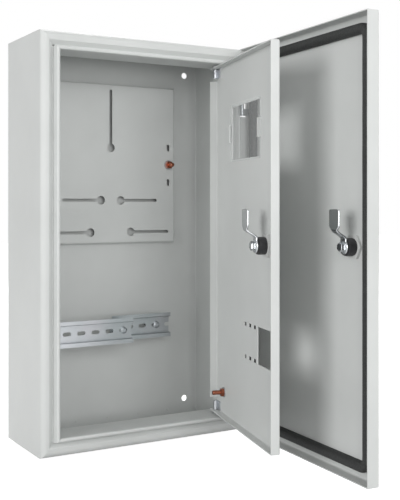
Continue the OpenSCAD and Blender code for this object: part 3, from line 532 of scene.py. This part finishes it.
@dataclass
class FoamSeal:
    """Foam seal of the outer door: a rounded rectangle of soft section on the door's inside."""

    half_x: float = 132.8
    half_z: float = 252.8
    radius: float = 12.0
    width: float = 12.0
    thickness: float = 9.4
    crown_share: float = 0.45
    bulge: float = 0.12
    step: float = 8.0
    face_y: float = -146.8

    def path(self) -> np.ndarray:
        """Middle line of the seal, with points no further apart than a step along its straights."""
        corners = rounded_rectangle(self.half_x, self.half_z, self.radius, 12)
        parts = []
        for start, end in zip(corners, np.roll(corners, -1, axis=0)):
            count = max(int(np.hypot(*(end[:2] - start[:2])) / self.step), 1)
            t = np.linspace(0.0, 1.0, count, endpoint=False)[:, None]
            parts.append(start + (end - start) * t)
        return np.concatenate(parts)

    def section(self) -> np.ndarray:
        """Section, across and up: flat foot, sides that bulge as sin(pi s), an elliptic crown."""
        w, h = self.width / 2, self.thickness
        foot = (1.0 - self.crown_share) * h
        s = np.linspace(0.0, 1.0, 7)
        side = np.stack([-w - self.bulge * np.sin(np.pi * s), foot * s], -1)
        a = np.linspace(np.pi, 0.0, 15)[1:-1]
        crown = np.stack([w * np.cos(a), foot + self.crown_share * h * np.sin(a)], -1)
        return np.concatenate([side, crown, side[::-1] * np.array([-1.0, 1.0])])

    def build(self, swing: Swing, finishes: Finishes) -> None:
        """Carries the section round the path; a slow wave takes up to a fiftieth off its height."""
        path, section = self.path(), self.section()
        k = np.arange(len(path))
        wave = 0.99 + 0.01 * np.sin(k * 0.7) * np.sin(k * 0.23 + 1.0)
        x = path[:, None, 0] + path[:, None, 2] * section[None, :, 0]
        z = path[:, None, 1] + path[:, None, 3] * section[None, :, 0]
        y = self.face_y + section[None, :, 1] * wave[:, None]
        piece = surface("door_seal_foam", swing.open(np.stack([x, y, z], -1) * MM),
                        loop_u=True, loop_v=True)
        finishes.put_on(piece, Slot.FOAM, Body.OUTER_DOOR, "outer_door_seal")


@dataclass
class CamLock:
    """Quarter-turn lock: the cast cam, the thread on the barrel and the flanged bolt."""

    name: str
    x: float
    face_y: float
    door: Body
    cam: Body
    reach: float = 44.5
    blade_w: float = 20.0
    blade_t: float = 2.5
    blade_start: float = 25.0
    base: float = 14.0
    flare: float = 6.0
    crank: float = 13.0
    crank_span: tuple[float, float] = (9.5, 20.5)
    hub_r: float = 8.5
    hub_end: float = 7.0
    neck_w: float = 11.0
    boss: float = 0.2
    boss_span: tuple[float, float] = (8.0, 14.0)
    tip_length: float = 3.2
    tip_narrowing: float = 2.6
    squareness: float = 0.35
    flange_r: float = 7.0
    flange_t: float = 1.2
    teeth: int = 24
    tooth: float = 0.2
    head_af: float = 10.0
    head_t: float = 4.0
    fillet: float = 0.3
    head_chamfer: float = 0.6
    thread_r: float = 10.75
    thread_depth: float = 0.45
    thread_pitch: float = 1.5
    thread_span: tuple[float, float] = (3.6, 13.4)
    thread_flat: float = 9.8

    def place(self, local: np.ndarray, swing: Swing) -> np.ndarray:
        """Puts local points, x across, y along the blade and z inwards, on the open door."""
        world = np.stack([self.x - local[..., 0], self.face_y + local[..., 2], local[..., 1]], -1)
        return swing.open(world * MM)

    def cam_grid(self) -> np.ndarray:
        """Cast arm: a superellipse section carried along the cranked middle line.

        Middle line: level at the hub, a smooth step of the crank's height, level along the blade.
        The half width goes hub, neck, blade through smooth steps, and closes at both ends.
        """
        y = np.linspace(-self.hub_r - self.boss, self.reach, 90)
        z = self.base + self.blade_t / 2 + self.crank * smooth_step(y, *self.crank_span)
        half_neck = self.neck_w / 2
        hub = np.sqrt(np.clip(self.hub_r**2 - np.clip(y, -self.hub_r, self.hub_r) ** 2, 0.0, None))
        arm = half_neck + (self.blade_w / 2 - half_neck) * smooth_step(
            y, self.blade_start - self.flare, self.blade_start)
        w = np.where(y < self.hub_end, np.maximum(hub, np.where(y > 0, half_neck, 0.0)), arm)
        tip = np.clip((self.reach - y) / self.tip_length, 0.0, 1.0)
        w = w - self.tip_narrowing * (1.0 - np.sqrt(1.0 - (1.0 - tip) ** 2))
        w[0] = w[-1] = 0.0
        t = self.blade_t / 2 + self.boss * (1 - smooth_step(y, *self.boss_span))
        t[0] = t[-1] = 0.0
        a = np.linspace(0.0, TURN, 28, endpoint=False)
        ca, sa = np.cos(a), np.sin(a)
        cross = np.stack([np.sign(ca) * np.abs(ca) ** self.squareness,
                          np.sign(sa) * np.abs(sa) ** self.squareness], -1)
        slope = np.gradient(z, y)[:, None]
        rise = t[:, None] * cross[None, :, 1]
        return np.stack([w[:, None] * cross[None, :, 0],
                         y[:, None] - slope * rise / (1 + slope**2), z[:, None] + rise], -1)

    def bolt_grid(self) -> np.ndarray:
        """Flanged bolt: a serrated flange and a hexagon.

        The hexagon's radius is half its width over the cosine of the angle from the nearest flat.
        """
        top = self.base + self.blade_t + self.boss
        a = np.linspace(0.0, TURN, 96, endpoint=False)
        teeth = np.sin(self.teeth * a)
        rim = self.flange_r - self.tooth + self.tooth * np.sign(teeth) * np.abs(teeth) ** 0.5
        hexagon = self.head_af / 2 / np.cos((a + TURN / 12) % (TURN / 6) - TURN / 12)
        neck, end = top + self.flange_t, top + self.flange_t + self.head_t
        rings = [(0.0 * rim, top), (rim, top), (rim, neck - self.fillet),
                 (hexagon + self.fillet, neck), (hexagon, neck + self.fillet),
                 (hexagon, end - self.head_chamfer), (hexagon - self.head_chamfer, end),
                 (0.0 * rim, end)]
        return np.stack([np.stack([r * np.cos(a), r * np.sin(a), np.full_like(a, h)], -1)
                         for r, h in rings])

    def build(self, swing: Swing, finishes: Finishes) -> None:
        """Makes the cam, the bolt and the barrel's thread, and puts them on their bodies."""
        cam = surface(f"{self.name}_cam_casting", self.place(self.cam_grid(), swing), loop_v=True)
        finishes.put_on(cam, Slot.CHROME, self.cam, f"{self.name}_lock_cam")
        bolt = surface(f"{self.name}_cam_bolt_head", self.place(self.bolt_grid(), swing),
                       loop_v=True, smooth=False)
        finishes.put_on(bolt, Slot.CHROME, self.cam, f"{self.name}_lock_bolt")
        thread = threaded(self.thread_r, self.thread_depth, self.thread_pitch, *self.thread_span,
                          steps=48)
        thread[..., 0] = np.clip(thread[..., 0], -self.thread_flat, self.thread_flat)
        coil = surface(f"{self.name}_barrel_thread", self.place(thread, swing), loop_v=True)
        finishes.put_on(coil, Slot.BLACK, self.door)


@dataclass
class EarthStud:
    """Thread on a copper earth stud."""

    name: str
    x: float
    z: float
    face_y: float
    into: float
    body: Body
    length: float = 17.0
    radius: float = 3.1
    depth: float = 0.35
    pitch: float = 1.0
    start: float = 5.4
    bare_end: float = 0.8

    def build(self, swing: Swing | None, finishes: Finishes) -> None:
        """Makes the thread between the nut and the stud's end."""
        grid = threaded(self.radius, self.depth, self.pitch, self.start,
                        self.length - self.bare_end, steps=24)
        world = np.stack([self.x + grid[..., 0], self.face_y + self.into * grid[..., 2],
                          self.z + grid[..., 1]], -1) * MM
        if swing is not None:
            world = swing.open(world)
        piece = surface(f"{self.name}_thread", world, loop_v=True)
        finishes.put_on(piece, Slot.COPPER, self.body)


@dataclass
class MeterPane:
    """Clear pane behind the inner door's window, bowed between its two tabs."""

    x: float = -2.0
    z: float = 145.0
    half_w: float = 57.6
    half_h: float = 38.1
    bow: float = 1.0
    thickness: float = 1.5
    play: float = 0.02
    face_y: float = -113.8

    def build(self, swing: Swing, finishes: Finishes) -> None:
        """Bows a sheet: its depth is bow times one less the square of the share across."""
        s = np.linspace(-1.0, 1.0, 25)
        front = np.stack([self.x + self.half_w * s,
                          self.face_y + self.play + self.bow * (1.0 - s**2)], -1)
        back = front[::-1] + np.array([0.0, self.thickness])
        ring = np.concatenate([front, back])
        middle = (front + back[::-1]) / 2
        closed = np.concatenate([middle, middle[::-1]])
        low, high = self.z - self.half_h, self.z + self.half_h
        rows = [np.concatenate([flat, np.full((len(flat), 1), h)], 1)
                for flat, h in ((closed, low), (ring, low), (ring, high), (closed, high))]
        piece = surface("meter_pane", swing.open(np.stack(rows) * MM), loop_v=True, smooth=False)
        finishes.put_on(piece, Slot.CLEAR, Body.INNER_DOOR, "meter_window")


# ---------------------------------------------------------------- studio


@dataclass(frozen=True)
class Softbox:
    """A rectangular lamp aimed at a point."""

    name: str
    place: tuple[float, float, float]
    aim: tuple[float, float, float]
    size: tuple[float, float]
    watts: float

    def build(self) -> None:
        """Adds the lamp."""
        data = bpy.data.lights.new(self.name, "AREA")
        data.shape = "RECTANGLE"
        data.size, data.size_y = self.size
        data.energy = self.watts
        lamp = bpy.data.objects.new(self.name, data)
        lamp.location = self.place
        way = Vector(self.aim) - Vector(self.place)
        lamp.rotation_euler = way.to_track_quat("-Z", "Y").to_euler()
        bpy.context.scene.collection.objects.link(lamp)


def looked_at(graph: Graph) -> bpy.types.NodeSocket:
    """Mask that is 1 where the camera looks straight at a surface, or by way of gloss or glass."""
    path = graph.add("ShaderNodeLightPath")
    seen = path.outputs["Is Camera Ray"]
    for kind in ("Is Glossy Ray", "Is Transmission Ray"):
        either = graph.add("ShaderNodeMath", operation="MAXIMUM")
        graph.join(seen, either.inputs[0])
        graph.join(path.outputs[kind], either.inputs[1])
        seen = either.outputs["Value"]
    return seen


@dataclass
class Studio:
    """Camera at the photograph's place, white surround and soft lamps."""

    focal_px: float = 905.48
    centre_px: tuple[float, float] = (199.36, 204.06)
    image_px: tuple[int, int] = (400, 500)
    eye: tuple[float, float, float] = (-0.55493, -1.20468, 0.05019)
    heading: float = 30.536
    floor_z: float = -0.275
    floor_half: float = 6.0
    floor_tone: float = 0.42
    floor_glow: float = 0.95
    world_level: float = 0.29
    lamps: list[Softbox] = field(default_factory=list)

    def camera(self) -> None:
        """Level camera; its shift keeps the upright lines upright, as in the photograph."""
        data = bpy.data.cameras.new("photo_camera")
        longest = max(self.image_px)
        data.sensor_width = SENSOR_MM
        data.lens = self.focal_px * data.sensor_width / longest
        data.shift_x = (self.image_px[0] / 2 - self.centre_px[0]) / longest
        data.shift_y = (self.centre_px[1] - self.image_px[1] / 2) / longest
        data.clip_start = NEAR
        camera = bpy.data.objects.new("photo_camera", data)
        camera.location = self.eye
        camera.rotation_euler = (math.radians(90.0), 0.0, math.radians(-self.heading))
        bpy.context.scene.collection.objects.link(camera)
        bpy.context.scene.camera = camera

    def surround(self) -> None:
        """World: a plain level for light, and white where camera, gloss or glass look at it."""
        world = bpy.data.worlds.new("surround")
        bpy.context.scene.world = world
        world.use_nodes = True
        g = Graph(world.node_tree)
        world.node_tree.nodes.clear()
        level = g.add("ShaderNodeMapRange", To_Min=self.world_level, To_Max=1.0)
        g.join(looked_at(g), level.inputs["Value"])
        back = g.add("ShaderNodeBackground", Color=(1.0, 1.0, 1.0, 1.0))
        g.join(level.outputs["Result"], back.inputs["Strength"])
        out = g.add("ShaderNodeOutputWorld")
        g.join(back.outputs["Background"], out.inputs["Surface"])

    def floor(self) -> None:
        """Pale floor that looks white to the camera away from the object's shadow."""
        h = self.floor_half
        grid = np.array([[[x, y, self.floor_z] for y in (-h, h)] for x in (-h, h)])
        plate = surface("studio_floor", grid, smooth=False)
        material, g, shader = start_material("studio_floor")
        shader.inputs["Base Color"].default_value = (*[self.floor_tone] * 3, 1.0)
        shader.inputs["Roughness"].default_value = 0.9
        glow = g.add("ShaderNodeMapRange", To_Min=0.0, To_Max=self.floor_glow)
        g.join(looked_at(g), glow.inputs["Value"])
        shader.inputs["Emission Color"].default_value = (1.0, 1.0, 1.0, 1.0)
        g.join(glow.outputs["Result"], shader.inputs["Emission Strength"])
        plate.data.materials.append(material)

    def build(self) -> None:
        """Sets up everything round the object."""
        bpy.context.scene.view_settings.view_transform = "Standard"
        self.camera()
        self.surround()
        self.floor()
        for lamp in self.lamps:
            lamp.build()
        log.info("studio: camera and %d lamps", len(self.lamps))


def studio_lamps() -> list[Softbox]:
    """The lamps: a broad key from the left, fills in front, and others behind for other views."""
    return [
        Softbox("key_left", (-4.1, -1.3, 0.55), (0.1, -0.25, 0.0), (2.1, 2.2), 101.0),
        Softbox("front_fill", (-0.35, -2.2, 0.35), (0.0, 0.0, 0.0), (1.2, 1.0), 19.0),
        Softbox("front_left", (-1.3, -1.8, 0.5), (0.0, 0.0, 0.0), (1.0, 1.2), 2.7),
        Softbox("high_right", (0.7, -1.3, 0.9), (0.1, -0.2, 0.0), (0.8, 0.8), 5.4),
        Softbox("right_fill", (2.4, 0.9, 0.7), (0.1, -0.1, 0.0), (1.2, 1.2), 20.0),
        Softbox("back_fill", (1.0, 2.2, 0.6), (0.0, 0.0, 0.0), (1.2, 1.0), 19.0),
        Softbox("top_fill", (0.3, 1.1, 1.9), (0.0, 0.0, 0.0), (1.4, 1.2), 24.0),
    ]


def main() -> None:
    """Builds the sub-assemblies in order, then the studio."""
    logging.basicConfig(level=logging.INFO, format="%(name)s: %(message)s")
    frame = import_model()
    finishes = Finishes()
    finishes.dress_frame(frame)
    outer = Swing.of(frame["joints"], "outer_door_hinge")
    inner = Swing.of(frame["joints"], "inner_door_hinge")
    FrontFold().build(frame, finishes)
    FoamSeal().build(outer, finishes)
    CamLock("outer", -102.5, -146.8, Body.OUTER_DOOR, Body.OUTER_CAM).build(outer, finishes)
    CamLock("inner", -84.0, -113.8, Body.INNER_DOOR, Body.INNER_CAM).build(inner, finishes)
    EarthStud("door_earth", 89.0, -211.0, -113.8, 1.0, Body.INNER_DOOR).build(inner, finishes)
    EarthStud("plate_earth", 94.5, 108.73, -12.0, -1.0, Body.CASING, 14.0).build(None, finishes)
    MeterPane().build(inner, finishes)
    Studio(lamps=studio_lamps()).build()


if __name__ == "__main__":
    main()
